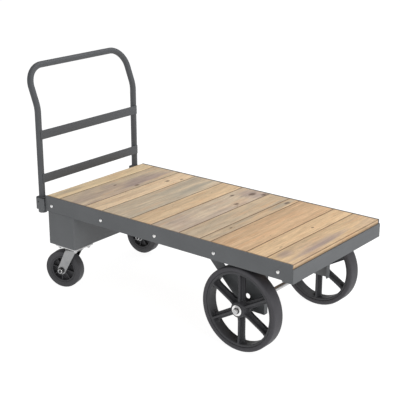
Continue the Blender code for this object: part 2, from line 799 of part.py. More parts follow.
def handle():
    """The handle slides up out of its sockets as one piece."""
    lift = pivot("handle_lift", (0, 0, 0))
    handle_frame(lift)
    for name, height in zip(("crossbar_lower", "crossbar_upper"), CROSSBAR_HEIGHTS):
        crossbar(name, height, lift)


def socket_sleeve(side, sign):
    """Cup that holds the foot of a post."""
    bore = TUBE_RADIUS + 0.0005
    top = DECK_TOP - FRONT_RAIL_DROP + 0.001
    profile = [
        (0, SOCKET_BOTTOM_Z + 0.004),
        (bore, SOCKET_BOTTOM_Z + 0.004),
        (bore, top),
        (SOCKET_RADIUS, top),
        (SOCKET_RADIUS, SOCKET_BOTTOM_Z + 0.003),
        (SOCKET_RADIUS - 0.003, SOCKET_BOTTOM_Z),
        (0, SOCKET_BOTTOM_Z),
    ]
    finish(turned(f"socket_sleeve_{side}", profile, 24, (POST_X, sign * POST_Y, 0)), FRAME_PAINT)


def socket_strap(side, sign):
    """U-shaped strap that holds the sleeve against the handle-end rail."""
    end = -HALF_LENGTH - GAP - POST_X

    def loop(half, corner, reach):
        upper = circle((-half + corner, half - corner), corner, 4, math.pi / 2, math.pi / 2)
        lower = circle((-half + corner, -half + corner), corner, 4, math.pi, math.pi / 2)
        return [(reach, half)] + upper + lower + [(reach, -half)]

    outer = loop(STRAP_HALF, STRAP_CORNER, end)
    inner = loop(STRAP_HALF - STRAP_SHEET, STRAP_CORNER - STRAP_SHEET, end)
    height = DECK_TOP - FRONT_RAIL_DROP - RAIL_BOTTOM
    strap = plate(f"socket_strap_{side}", [outer + inner[::-1]], height, "XY")
    strap.location = (POST_X, sign * POST_Y, RAIL_BOTTOM + height / 2)
    finish(strap, FRAME_PAINT)


# ---- the whole cart ---------------------------------------------------------------------------


def build_cart():
    end_rails()
    for side, sign in SIDES.items():
        side_rail(side, sign)
        axle_hanger(side, sign)
        socket_sleeve(side, sign)
        socket_strap(side, sign)
        for number, spot in enumerate(CROSS_MEMBER_SPOTS, start=1):
            side_bolt(side, sign, number, spot)
    for number, spot in enumerate(CROSS_MEMBER_SPOTS, start=1):
        cross_member(number, spot)
    deck_boards()
    riser_box()
    axle()
    big_wheels()
    casters()
    handle()


build_cart()
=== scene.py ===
"""Looks of the platform cart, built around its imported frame: boards, wheels, casters and handle.

Every piece is made in the frame's own coordinates, in metres, so its object sits at the origin and
its place is in its mesh. Materials are procedural and measured in the same metres.
"""

import json
import math
import random

import bmesh
import bpy
from mathutils import Matrix, Vector, noise


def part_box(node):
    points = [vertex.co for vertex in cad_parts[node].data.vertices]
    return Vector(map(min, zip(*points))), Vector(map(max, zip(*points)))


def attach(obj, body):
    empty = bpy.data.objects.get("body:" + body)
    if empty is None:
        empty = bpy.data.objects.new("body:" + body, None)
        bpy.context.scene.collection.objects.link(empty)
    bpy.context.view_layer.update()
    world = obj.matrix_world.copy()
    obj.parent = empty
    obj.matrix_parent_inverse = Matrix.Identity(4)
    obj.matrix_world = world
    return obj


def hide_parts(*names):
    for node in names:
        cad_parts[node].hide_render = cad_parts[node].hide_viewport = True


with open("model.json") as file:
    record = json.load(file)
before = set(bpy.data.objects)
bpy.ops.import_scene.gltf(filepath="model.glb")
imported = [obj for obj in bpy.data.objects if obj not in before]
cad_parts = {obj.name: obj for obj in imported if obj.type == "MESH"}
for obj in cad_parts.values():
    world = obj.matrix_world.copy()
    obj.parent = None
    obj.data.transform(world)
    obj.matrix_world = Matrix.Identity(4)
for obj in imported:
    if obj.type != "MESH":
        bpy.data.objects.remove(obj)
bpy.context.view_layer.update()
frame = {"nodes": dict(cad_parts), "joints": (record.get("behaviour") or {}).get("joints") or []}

SIDES = {"left": 1, "right": -1}
NODES = frame["nodes"]

# ---- places read from the frame ---------------------------------------------------------------


def joint(name):
    return next(j for j in frame["joints"] if j["name"] == name)


def joint_place(name):
    return Vector(joint(name)["pos_m"])


def caster_turn(side):
    """Angle about Z at which a caster stands at rest, from the axis of its wheel."""
    x, y, _ = joint(f"caster_{side}_spin")["axis"]
    return Matrix.Rotation(math.atan2(-x, y), 4, "Z")


HALF_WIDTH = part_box("side_rail_left")[1].y

# ---- node materials ---------------------------------------------------------------------------


def srgb(red, green, blue):
    """Colour from 0-255 display values to the linear values that shaders take."""
    def linear(value):
        value /= 255
        return value / 12.92 if value <= 0.04045 else ((value + 0.055) / 1.055) ** 2.4
    return (linear(red), linear(green), linear(blue), 1)


# pale grey of rubbed edge paint, which is also a painted edge highlight
RUBBED_EDGE_AND_HIGHLIGHT = srgb(126, 127, 130)
DUST = srgb(140, 137, 134)
GRAIN = srgb(120, 92, 66)
BLUSH = srgb(216, 160, 112)
PORE = srgb(112, 82, 58)
FLECK = srgb(104, 84, 72)
KNOT = srgb(88, 66, 54)
# dark brown of grime and of painted shade in the gaps between boards and at the rails
SEAM_DIRT_AND_SHADE = srgb(84, 62, 46)
PAINT_SPECULAR = 0.28
DRY_SPECULAR = 0.30                         # of rubber, plastic and bare wood


class Tree:
    """A material's node tree with short ways to add and join nodes."""

    def __init__(self, name):
        self.material = bpy.data.materials.new(name)
        self.material.use_nodes = True
        self.nodes = self.material.node_tree.nodes
        self.links = self.material.node_tree.links
        self.shader = self.nodes["Principled BSDF"]
        self.place = self.nodes.new("ShaderNodeTexCoord").outputs["Object"]

    def put(self, value, socket):
        """Joins a socket to an input, or sets the input to a plain value."""
        if isinstance(value, bpy.types.NodeSocket):
            self.links.new(value, socket)
        else:
            socket.default_value = value

    def math(self, operation, a, b=0.0, c=0.0, clamp=False):
        node = self.nodes.new("ShaderNodeMath")
        node.operation = operation
        node.use_clamp = clamp
        for value, socket in zip((a, b, c), node.inputs):
            self.put(value, socket)
        return node.outputs[0]

    def scaled(self, scale, offset=(0, 0, 0), source=None):
        """Object coordinates stretched per axis, in cycles per metre."""
        node = self.nodes.new("ShaderNodeMapping")
        self.put(source or self.place, node.inputs["Vector"])
        node.inputs["Scale"].default_value = scale
        node.inputs["Location"].default_value = offset
        return node.outputs[0]

    def noise(self, vector, detail=3.0, roughness=0.5, scale=1.0, distortion=0.0):
        node = self.nodes.new("ShaderNodeTexNoise")
        self.put(vector, node.inputs["Vector"])
        node.inputs["Scale"].default_value = scale
        node.inputs["Detail"].default_value = detail
        node.inputs["Roughness"].default_value = roughness
        node.inputs["Distortion"].default_value = distortion
        return node.outputs["Fac"]

    def span(self, value, low, high, to_low=0.0, to_high=1.0):
        """Maps a range to another, with its ends held."""
        node = self.nodes.new("ShaderNodeMapRange")
        for source, socket in zip((value, low, high, to_low, to_high), node.inputs):
            self.put(source, socket)
        return node.outputs[0]

    def mix(self, factor, first, second, blend="MIX"):
        node = self.nodes.new("ShaderNodeMix")
        node.data_type = "RGBA"
        node.blend_type = blend
        self.put(factor, node.inputs[0])
        self.put(first, node.inputs[6])
        self.put(second, node.inputs[7])
        return node.outputs[2]

    def shaded(self, colour, tone):
        """A colour made lighter or darker by a tone about 1."""
        return self.mix(1.0, colour, self.join(tone, tone, tone), "MULTIPLY")

    def square(self, x, y, middle, reach):
        """Square of the distance from a middle, in units of a reach along each axis."""
        dx = self.math("DIVIDE", self.math("SUBTRACT", x, middle[0]), reach[0])
        dy = self.math("DIVIDE", self.math("SUBTRACT", y, middle[1]), reach[1])
        return self.math("ADD", self.math("MULTIPLY", dx, dx), self.math("MULTIPLY", dy, dy))

    def bump(self, height, distance, strength=1.0, normal=None):
        node = self.nodes.new("ShaderNodeBump")
        node.inputs["Strength"].default_value = strength
        node.inputs["Distance"].default_value = distance
        self.put(height, node.inputs["Height"])
        if normal is not None:
            self.put(normal, node.inputs["Normal"])
        return node.outputs[0]

    def split(self, vector):
        node = self.nodes.new("ShaderNodeSeparateXYZ")
        self.put(vector, node.inputs[0])
        return node.outputs

    def join(self, x, y, z):
        node = self.nodes.new("ShaderNodeCombineXYZ")
        for value, socket in zip((x, y, z), node.inputs):
            self.put(value, socket)
        return node.outputs[0]

    def edge_mask(self, radius):
        """1 near an outer edge and 0 on flat faces, from the rounded and the true normal."""
        rounded = self.nodes.new("ShaderNodeBevel")
        rounded.samples = 4
        rounded.inputs["Radius"].default_value = radius
        true = self.nodes.new("ShaderNodeNewGeometry").outputs["Normal"]
        dot = self.nodes.new("ShaderNodeVectorMath")
        dot.operation = "DOT_PRODUCT"
        self.put(rounded.outputs[0], dot.inputs[0])
        self.put(true, dot.inputs[1])
        flat, edge = 0.995, 0.86
        return self.span(dot.outputs["Value"], flat, edge)

    def finish(self, colour, roughness, normal=None, metallic=0.0):
        self.put(colour, self.shader.inputs["Base Color"])
        self.put(roughness, self.shader.inputs["Roughness"])
        self.shader.inputs["Metallic"].default_value = metallic
        if normal is not None:
            self.put(normal, self.shader.inputs["Normal"])
        return self.material


def painted_steel(name, colour, seed):
    """Satin enamel: faint orange peel, slow shifts of tone and gloss, rubbed edges lit by a painted
    highlight.
    """
    tree = Tree(name)
    slow = tree.noise(tree.scaled((7, 7, 7), (seed, 0, 0)), detail=4)
    tone = tree.span(slow, 0.3, 0.7, 0.94, 1.06)
    grime = tree.noise(tree.scaled((55, 55, 55), (0, seed, 0)), detail=5, roughness=0.65)
    tone = tree.math("MULTIPLY", tone, tree.span(grime, 0.25, 0.75, 0.96, 1.03))
    paint = tree.shaded(colour, tone)
    edge_width = 0.0012
    # outer edges lightened: rubbed paint, together with a painted highlight along the edges
    rubbing_and_highlight = tree.span(grime, 0.35, 0.62, 0.05, 0.35)
    wear_and_highlight = tree.math("MULTIPLY", tree.edge_mask(edge_width), rubbing_and_highlight)
    paint = tree.mix(wear_and_highlight, paint, RUBBED_EDGE_AND_HIGHLIGHT)
    peel = tree.noise(tree.scaled((420, 420, 420)), detail=2)
    gloss = tree.span(grime, 0.3, 0.7, 0.50, 0.60)
    roughness = tree.math("ADD", gloss, tree.math("MULTIPLY", wear_and_highlight, 0.1))
    tree.shader.inputs["Specular IOR Level"].default_value = PAINT_SPECULAR
    return tree.finish(paint, roughness, tree.bump(peel, 0.00008, 0.55))


def zinc(name, seed, colour=(0.50, 0.505, 0.52, 1)):
    """Zinc plate: a soft spangle, a trace of yellow, duller patches and fine drawn scratches."""
    tree = Tree(name)
    spangle = tree.noise(tree.scaled((160, 160, 160), (seed, 0, 0)), detail=3, distortion=0.6)
    warm = tuple(value * share for value, share in zip(colour, (1.16, 1.13, 1.07, 1.0)))
    tint = tree.mix(tree.span(spangle, 0.35, 0.7), colour, warm)
    dull = tree.noise(tree.scaled((38, 38, 38), (0, seed, 0)), detail=4)
    grey = tuple(value * 0.72 for value in colour[:3]) + (1,)
    tint = tree.mix(tree.span(dull, 0.52, 0.75, 0.0, 0.55), tint, grey)
    drawn = tree.noise(tree.scaled((1500, 1500, 90)), detail=1)
    roughness = tree.span(spangle, 0.3, 0.7, 0.26, 0.42)
    return tree.finish(tint, roughness, tree.bump(drawn, 0.00004, 0.35), metallic=1.0)


def moulded(name, colour, seed, roughness=0.58, grain=650.0, dust=0.06):
    """Dark moulded rubber or polymer: fine pebble grain, tone drift and pale dust."""
    tree = Tree(name)
    slow = tree.noise(tree.scaled((16, 16, 16), (seed, 0, 0)), detail=4)
    tone = tree.span(slow, 0.3, 0.7, 0.9, 1.1)
    body = tree.shaded(colour, tone)
    film = tree.noise(tree.scaled((90, 90, 90), (0, seed, 0)), detail=6, roughness=0.7)
    body = tree.mix(tree.span(film, 0.45, 0.8, 0.0, dust), body, DUST)
    pebble = tree.noise(tree.scaled((grain, grain, grain)), detail=3)
    soft = tree.bump(slow, 0.0006, 0.25)
    normal = tree.bump(pebble, 0.00012, 0.6, soft)
    tree.shader.inputs["Specular IOR Level"].default_value = DRY_SPECULAR
    gloss = tree.span(film, 0.3, 0.7, roughness - 0.07, roughness + 0.08)
    return tree.finish(body, gloss, normal)


def blackened(name):
    """Dark oiled steel for spacers and set screws."""
    tree = Tree(name)
    speck = tree.noise(tree.scaled((300, 300, 300)), detail=4)
    colour = tree.mix(speck, (0.012, 0.012, 0.013, 1), (0.035, 0.034, 0.033, 1))
    gloss = tree.span(speck, 0.3, 0.7, 0.38, 0.55)
    return tree.finish(colour, gloss, tree.bump(speck, 0.00005, 0.4))


def plank(name, base, streak, streaks, low, high, seed, knots, stains):
    """Sawn and sanded board with its grain along Y, between two corners.

    The ring lines come from a slowly warped distance across the board. Each knot, given as x, y and
    radius, lifts that distance so that the lines flow round it, and darkens its own uneven heart.
    Each stain, given as x, y, half width, half length and strength, is a ragged patch of the streak
    colour. Its edges, ends and sides darken: painted shade of the gaps around it, with some dirt.
    """
    tree = Tree(name)
    dark = tree.mix(0.34, base, GRAIN)
    x, y, z = tree.split(tree.place)
    across = tree.math("ADD", x, tree.math("MULTIPLY", z, 0.7))
    warp = tree.noise(tree.scaled((9, 1.5, 9), (seed * 3.1, seed, 0)), detail=3)
    across = tree.math("ADD", across, tree.span(warp, 0.2, 0.8, -0.022, 0.022))
    ragged = tree.noise(tree.scaled((150, 90, 60), (seed, 0, 0)), detail=3)
    ragged = tree.span(ragged, 0.2, 0.8, -0.6, 0.6)
    heart = 0.0
    for knot_x, knot_y, radius in knots:
        square = tree.square(x, y, (knot_x, knot_y), (radius, radius * 1.7))
        pull = tree.math("DIVIDE", 1.0, tree.math("MULTIPLY_ADD", square, 0.30, 1.0))
        across = tree.math("ADD", across, tree.math("MULTIPLY", pull, radius * 1.9))
        eye = tree.span(tree.math("ADD", square, ragged), 1.3, 0.1)
        heart = tree.math("MAXIMUM", heart, eye)
    ring_place = tree.join(across, tree.math("MULTIPLY", y, 0.02), seed * 0.37)
    rings = tree.noise(tree.scaled((62, 62, 1), source=ring_place), detail=2, roughness=0.6)
    fine_rings = tree.noise(tree.scaled((260, 260, 1), source=ring_place), detail=2)
    fibre_place = tree.join(across, tree.math("MULTIPLY", y, 0.035), z)
    fibres = tree.noise(tree.scaled((520, 520, 60), source=fibre_place), detail=4, roughness=0.7)
    pores = tree.noise(tree.scaled((1400, 34, 300), (seed, 0, 0)), detail=2)
    clouds = tree.scaled((13, 2.6, 9), (seed * 1.7, seed * 0.6, 0))
    clouds = tree.noise(clouds, detail=4, roughness=0.6)
    bands = tree.scaled((34, 1.9, 6), (seed * 0.9, seed * 2.3, 0))
    bands = tree.noise(bands, detail=3, distortion=0.35)
    specks = tree.scaled((150, 42, 60), (seed * 2.1, 0, seed))
    specks = tree.noise(specks, detail=1, distortion=1.2)
    blush = tree.noise(tree.scaled((48, 5, 20), (seed * 4.3, 0, seed)), detail=3, roughness=0.65)
    tone = tree.mix(tree.span(rings, 0.38, 0.64, 0.0, 0.66), base, dark)
    tone = tree.mix(tree.span(blush, 0.50, 0.68, 0.0, 0.34), tone, BLUSH)
    tone = tree.mix(tree.span(fine_rings, 0.40, 0.70, 0.0, 0.42), tone, dark)
    cloudy = tree.math("MULTIPLY", tree.span(clouds, 0.44, 0.64), streaks)
    tone = tree.mix(cloudy, tone, streak)
    banded = tree.math("MULTIPLY", tree.span(bands, 0.54, 0.68), streaks * 0.9)
    tone = tree.mix(banded, tone, streak)
    for spot_x, spot_y, half_width, half_length, strength in stains:
        square = tree.square(x, y, (spot_x, spot_y), (half_width, half_length))
        square = tree.math("ADD", square, tree.span(bands, 0.3, 0.7, 0.5, -0.5))
        tone = tree.mix(tree.math("MULTIPLY", tree.span(square, 1.1, 0.1), strength), tone, streak)
    mottle = tree.noise(tree.scaled((125, 16, 60), (seed * 5.7, seed, 0)), detail=3, roughness=0.7)
    shade = tree.span(mottle, 0.3, 0.7, 0.86, 1.13)
    tone = tree.shaded(tone, shade)
    tone = tree.shaded(tone, tree.span(fibres, 0.25, 0.75, 0.84, 1.12))
    tone = tree.mix(tree.span(pores, 0.66, 0.80, 0.0, 0.34), tone, PORE)
    tone = tree.mix(tree.span(specks, 0.70, 0.78, 0.0, 0.55), tone, FLECK)
    tone = tree.mix(tree.math("MULTIPLY", heart, 0.80), tone, KNOT)
    # long edges, ends and sides darken: painted shade of the gaps and of the sides below the top,
    # with some grime
    from_side = tree.math("ABSOLUTE", tree.math("SUBTRACT", x, (low.x + high.x) / 2))
    half_x, half_y = (high.x - low.x) / 2, (high.y - low.y) / 2
    seam_dirt_and_shade = tree.span(from_side, half_x - 0.0032, half_x - 0.0008)
    seam_dirt_and_shade = tree.math("MULTIPLY", seam_dirt_and_shade, tree.span(z, high.z - 0.0045, high.z - 0.0015))
    # the ends beside the side rails darken too: painted shade of the gap at the rail, with some
    # grime
    end = tree.span(tree.math("ABSOLUTE", y), half_y - 0.0055, half_y - 0.0020)
    side_dirt_and_shade = tree.span(z, high.z - 0.0010, high.z - 0.0160, 0.0, 0.75)
    dirt_and_shade = tree.math("MAXIMUM", tree.math("MAXIMUM", seam_dirt_and_shade, end), side_dirt_and_shade)
    dirt_and_shade = tree.math("MULTIPLY", dirt_and_shade, tree.span(fibres, 0.3, 0.7, 0.62, 0.85))
    tone = tree.mix(dirt_and_shade, tone, SEAM_DIRT_AND_SHADE)
    relief = tree.math("MULTIPLY", rings, 0.6)
    relief = tree.math("ADD", tree.math("MULTIPLY", fibres, 0.7), relief)
    relief = tree.math("SUBTRACT", relief, tree.span(pores, 0.64, 0.8, 0.0, 0.5))
    roughness = tree.span(fibres, 0.2, 0.8, 0.50, 0.66)
    tree.shader.inputs["Specular IOR Level"].default_value = DRY_SPECULAR
    return tree.finish(tone, roughness, tree.bump(relief, 0.00035, 0.5))


def backdrop_white(name):
    """Studio paper, faintly glowing so that it stays white under the cart."""
    tree = Tree(name)
    tooth = tree.noise(tree.scaled((40, 40, 40)), detail=3)
    tree.shader.inputs["Emission Color"].default_value = (1, 1, 1, 1)
    tree.shader.inputs["Emission Strength"].default_value = 0.93
    return tree.finish((0.22, 0.22, 0.22, 1), 0.9, tree.bump(tooth, 0.0003, 0.1))


PAINT = painted_steel("frame_enamel", srgb(97, 99, 101), 1.0)
# the frame's enamel in a darker tone for the handle and its welds: painted shade, as the handle
# takes less light
SHADED_HANDLE_PAINT = painted_steel("handle_enamel_shaded", srgb(82, 84, 87), 4.0)
ZINC = zinc("zinc_plate", 2.0)
BOLT_ZINC = zinc("zinc_bolt", 7.0, (0.78, 0.785, 0.80, 1))
FORK_ZINC = zinc("zinc_fork", 5.0, (0.30, 0.305, 0.315, 1))
RACE_ZINC = zinc("zinc_race", 3.0, (0.16, 0.16, 0.165, 1))
# near-black zinc for the fork legs' inner faces: painted shade
SHADED_ZINC = zinc("zinc_painted_shade", 9.0, (0.06, 0.06, 0.063, 1))
RUBBER = moulded("moulded_rubber", srgb(66, 65, 69), 1.0)
CASTER_RUBBER = moulded("caster_rubber", srgb(66, 66, 69), 3.0)
WHEEL_BODY = moulded("wheel_body", srgb(59, 59, 62), 6.0, 0.50, grain=420.0, dust=0.05)
CASTER_BODY = moulded("caster_body", srgb(60, 60, 63), 8.0, 0.47, grain=420.0, dust=0.04)
BLACK = blackened("oiled_black")

# ---- mesh tools -------------------------------------------------------------------------------


def closed_mesh(name, work):
    """A mesh of a bmesh, with its faces turned outwards."""
    mesh = bpy.data.meshes.new(name)
    bmesh.ops.recalc_face_normals(work, faces=work.faces)
    work.to_mesh(mesh)
    work.free()
    return mesh


def piece(name, work, material, body, node=None, angle=35):
    """A bmesh as an object that rides on a body and may stand for a CAD node."""
    dress(name, closed_mesh(name, work), material, body, node, angle)


def dress(name, mesh, material, body, node, angle):
    """A mesh as an object; a mesh that already has materials keeps them."""
    obj = bpy.data.objects.new(name, mesh)
    bpy.context.scene.collection.objects.link(obj)
    if not mesh.materials:
        mesh.materials.append(material)
    mesh.shade_smooth()
    mesh.set_sharp_from_angle(angle=math.radians(angle))
    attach(obj, body)
    if node:
        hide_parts(node)


def both_sides(half):
    """A half outline, then its mirror image back to where it starts."""
    return half + [(a, -b) for a, b in reversed(half)]


def skin(work, rings):
    """Joins rings of equal count into a tube with flat closed ends."""
    count = len(rings[0])
    for first, second in zip(rings, rings[1:]):
        for k in range(count):
            m = (k + 1) % count
            work.faces.new((first[k], first[m], second[m], second[k]))
    work.faces.new(rings[0][::-1])
    work.faces.new(rings[-1])
    return work


def moved(work, matrix):
    bmesh.ops.transform(work, matrix=matrix, verts=work.verts)
    return work


def lathe(profile, place, steps=96, axis="Y", work=None):
    """A closed ring, or a solid where the profile meets the axis, turned about Y or Z.

    The profile is a list of (radius, station); stations run along the axis from the place.
    """
    work = work or bmesh.new()
    rings = []
    closed = profile[0][0] > 0 and profile[-1][0] > 0
    for radius, station in profile:
        if radius == 0:
            rings.append([work.verts.new(spot(0, 0, station, place, axis))])
            continue
        ring = []
        for n in range(steps):
            angle = math.tau * n / steps
            ring.append(work.verts.new(spot(radius, angle, station, place, axis)))
        rings.append(ring)
    pairs = list(zip(rings, rings[1:]))
    if closed:
        pairs.append((rings[-1], rings[0]))
    for first, second in pairs:
        for n in range(steps):
            corners = [
                first[n % len(first)],
                first[(n + 1) % len(first)],
                second[(n + 1) % len(second)],
                second[n % len(second)],
            ]
            unique = [v for i, v in enumerate(corners) if v not in corners[:i]]
            if len(unique) > 2:
                work.faces.new(unique)
    return work


def spot(radius, angle, station, place, axis):
    u, v = radius * math.cos(angle), radius * math.sin(angle)
    local = Vector((u, station, v)) if axis == "Y" else Vector((u, v, station))
    return Vector(place) + local


def prism(outline, thickness, matrix, work=None):
    """A flat outline in the XZ plane, given thickness across Y, put in place by a matrix."""
    work = work or bmesh.new()
    front = [work.verts.new(matrix @ Vector((u, -thickness / 2, v))) for u, v in outline]
    back = [work.verts.new(matrix @ Vector((u, thickness / 2, v))) for u, v in outline]
    work.faces.new(front)
    work.faces.new(back[::-1])
    count = len(outline)
    for n in range(count):
        m = (n + 1) % count
        work.faces.new((front[m], front[n], back[n], back[m]))
    return work


def block(low, high, work=None):
    """A box between two corners."""
    work = work or bmesh.new()
    low, high = Vector(low), Vector(high)
    matrix = Matrix.Translation((low + high) / 2) @ Matrix.Diagonal((*(high - low), 1))
    bmesh.ops.create_cube(work, size=1, matrix=matrix)
    return work


def round_edges(work, width, segments=2, angle=30):
    """Bevels every edge that is sharper than the angle."""
    limit = math.radians(angle)
    edges = [e for e in work.edges if len(e.link_faces) == 2 and e.calc_face_angle(0) > limit]
    bmesh.ops.bevel(
        work, geom=edges, offset=width, segments=segments, profile=0.5, affect="EDGES",
        clamp_overlap=True,
    )
    return work


def arc(centre, radius, start, end, steps):
    """Points on an arc, angles in degrees."""
    angles = [math.radians(start + (end - start) * n / steps) for n in range(steps + 1)]
    return [(centre[0] + radius * math.cos(a), centre[1] + radius * math.sin(a)) for a in angles]


def fused(name, work, voxel, rounds):
    """One skin over overlapping solids, its inner corners softened as in a casting."""
    obj = bpy.data.objects.new(name, closed_mesh(name, work))
    bpy.context.scene.collection.objects.link(obj)
    remesh = obj.modifiers.new("skin", "REMESH")
    remesh.mode = "VOXEL"
    remesh.voxel_size = voxel
    soften = obj.modifiers.new("soften", "CORRECTIVE_SMOOTH")
    soften.factor = 0.5
    soften.iterations = rounds
    soften.smooth_type = "LENGTH_WEIGHTED"
    soften.use_only_smooth = True
    bpy.context.view_layer.update()
    graph = bpy.context.evaluated_depsgraph_get()
    result = bpy.data.meshes.new_from_object(obj.evaluated_get(graph))
    bpy.data.objects.remove(obj)
    return result


def moved_copy(mesh, matrix):
    copy = mesh.copy()
    copy.transform(matrix)
    return copy


def sweep(path, radius, sides=24, work=None):
    """A round bar along a path of points, with flat closed ends."""
    work = work or bmesh.new()
    up = None
    rings = []
    for n, point in enumerate(path):
        ahead = path[min(n + 1, len(path) - 1)] - path[max(n - 1, 0)]
        ahead.normalize()
        if up is None:
            up = ahead.orthogonal().normalized()
        up = (up - ahead * up.dot(ahead)).normalized()
        side = ahead.cross(up)
        ring = []
        for k in range(sides):
            angle = math.tau * k / sides
            outward = up * math.cos(angle) + side * math.sin(angle)
            ring.append(work.verts.new(point + outward * radius))
        rings.append(ring)
    return skin(work, rings)


def hexagon(place, across, depth, axis="Y", work=None):
    """A hex nut or head with a chamfered crown; the place is the middle of its base face."""
    work = work or bmesh.new()
    corner = across / math.sqrt(3)
    step = Vector((0, depth, 0)) if axis == "Y" else Vector((0, 0, depth))
    turn = math.radians(15)
    rings = []
    for share, spread in ((0.0, 1.0), (0.86, 1.0), (1.0, 0.90)):
        ring = []
        for k in range(6):
            base = spot(corner * spread, math.tau * k / 6 + turn, 0, place, axis)
            ring.append(work.verts.new(base + step * share))
        rings.append(ring)
    return skin(work, rings)


def steel_edges(node, width):
    """Folded-sheet edge radius on a CAD node, as a modifier."""
    bevel = NODES[node].modifiers.new("edge_radius", "BEVEL")
    bevel.width = width
    bevel.segments = 2
    bevel.limit_method = "ANGLE"
    bevel.angle_limit = math.radians(40)
    bevel.harden_normals = True


def paint_node(node, material):
    materials = NODES[node].data.materials
    materials.clear()
    materials.append(material)


# ---- deck -------------------------------------------------------------------------------------


VIOLET = srgb(160, 141, 139)
SLATE = srgb(168, 161, 147)

BOARDS = (
    # tone, streak, how streaked, knots as (share of width, y, radius),
    # stains as (share of width, y, half width, half length, strength)
    (srgb(249, 223, 181), SLATE, 0.12, (),
     ((0.40, -0.20, 0.020, 0.09, 0.5),)),
    (srgb(227, 206, 175), VIOLET, 0.45,
     ((0.85, 0.04, 0.008), (0.35, -0.02, 0.006)),
     ((0.55, 0.11, 0.050, 0.16, 0.6), (0.30, -0.04, 0.030, 0.07, 0.5))),
    (srgb(244, 215, 178), SLATE, 0.12,
     ((0.45, 0.16, 0.009), (0.80, 0.215, 0.006)),
     ()),
    (srgb(223, 204, 176), SLATE, 0.5, (),
     ((0.60, 0.10, 0.020, 0.17, 0.4),)),
    (srgb(234, 204, 165), SLATE, 0.1, (),
     ()),
    (srgb(225, 205, 178), VIOLET, 0.35,
     ((0.62, 0.240, 0.014), (0.22, 0.175, 0.008), (0.80, 0.10, 0.010), (0.93, 0.265, 0.011)),
     ((0.60, 0.24, 0.055, 0.06, 0.55), (0.45, -0.19, 0.045, 0.10, 0.35))),
    (srgb(221, 196, 163), SLATE, 0.35, (),
     ()),
    (srgb(225, 196, 159), SLATE, 0.45,
     ((0.50, 0.235, 0.010), (0.45, -0.13, 0.005)),
     ((0.50, 0.20, 0.018, 0.09, 0.6),)),
    (srgb(228, 191, 150), SLATE, 0.08, (),
     ()),
    (srgb(239, 204, 160), SLATE, 0.06, ((0.55, 0.06, 0.005),),
     ()),
    (srgb(232, 200, 158), VIOLET, 0.3, (),
     ((0.62, -0.05, 0.024, 0.20, 0.75), (0.30, -0.22, 0.030, 0.05, 0.6))),
)


BOARD_EDGE = 0.0016
BOARD_SLICES = 40
BOARD_WORN_DEPTH = 0.006                    # of the top band that is uneven
CHIPPING = 0.00035
RIPPLE = 0.00025


def board_mesh(low, high, seed):
    """A plank with eased, slightly uneven edges and a top worn a few tenths of a millimetre."""
    work = block(low, high)
    round_edges(work, BOARD_EDGE, 3)
    for n in range(1, BOARD_SLICES):
        y = low.y + (high.y - low.y) * n / BOARD_SLICES
        geometry = work.verts[:] + work.edges[:] + work.faces[:]
        bmesh.ops.bisect_plane(work, geom=geometry, plane_co=(0, y, 0), plane_no=(0, 1, 0))
    centre = (low.x + high.x) / 2
    for vert in work.verts:
        if vert.co.z < high.z - BOARD_WORN_DEPTH:
            continue
        ripple = noise.noise(Vector((vert.co.x * 20 + seed * 7, vert.co.y * 24, seed)))
        chip = noise.noise(Vector((seed * 5, vert.co.y * 60, vert.co.x * 300)))
        vert.co.x += math.copysign(CHIPPING * max(chip, 0), centre - vert.co.x)
        vert.co.z -= RIPPLE * abs(ripple)
    return work


def deck():
    for number, (tone, streak, streaks, knots, stains) in enumerate(BOARDS, start=1):
        node = f"deck_board_{number:02d}"
        name = f"plank_{number:02d}"
        low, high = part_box(node)
        seed = number * 1.37
        width = high.x - low.x
        knots = [(low.x + width * share, *rest) for share, *rest in knots]
        stains = [(low.x + width * share, *rest) for share, *rest in stains]
        material = plank(name, tone, streak, streaks, low, high, seed, knots, stains)
        piece(name, board_mesh(low, high, seed), material, "root", node)


# ---- frame ------------------------------------------------------------------------------------


def frame_steel():
    for node in ("side_rail_left", "side_rail_right"):
        paint_node(node, PAINT)
        steel_edges(node, 0.0010)
    for node in ("end_rail_front", "end_rail_rear", "riser_box"):
        paint_node(node, PAINT)
    for side in SIDES:
        paint_node(f"axle_hanger_{side}", PAINT)
        steel_edges(f"axle_hanger_{side}", 0.0008)
    for number in range(1, 6):
        paint_node(f"cross_member_{number}", PAINT)


PIECE_GAP = 0.0003                          # between CAD pieces that touch
BOLT_SHANK = 0.0039
BOLT_END_INSET = 0.0055                     # the shank stops this far inside the nut
BOLT_NUT_ACROSS = 0.0115
BOLT_NUT_DEPTH = 0.0060
BOLT_DOME = (0, 15, 32, 50, 68)             # degrees up the head, from its rim


def side_bolts():
    """Zinc carriage bolts: a domed head outside, and a hex nut inside the rail."""
    for side, sign in SIDES.items():
        for number in range(1, 6):
            node = f"side_bolt_{side}_{number}"
            low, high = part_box(node)
            place = (low + high) / 2
            radius = (high.z - low.z) / 2
            tip = high.y if sign > 0 else low.y
            inner = low.y if sign > 0 else high.y
            face = HALF_WIDTH + PIECE_GAP
            height = abs(tip) - face
            end = abs(inner) + BOLT_END_INSET
            dome = [(radius * math.cos(a), face + height * math.sin(a))
                    for a in (math.radians(degrees) for degrees in BOLT_DOME)]
            profile = [(0, face + height)] + dome[::-1]
            profile += [(BOLT_SHANK, face), (BOLT_SHANK, end), (0, end)]
            profile = [(r, station * sign) for r, station in profile]
            work = lathe(profile, (place.x, 0, place.z), 32)
            depth = BOLT_NUT_DEPTH * -sign
            hexagon((place.x, inner - depth, place.z), BOLT_NUT_ACROSS, depth, work=work)
            name = f"carriage_bolt_{side}_{number}"
            piece(name, work, BOLT_ZINC, "root", node)


WELD_RADIUS = 0.0016
WELD_STEP = 0.0011
WELD_SIDES = 10


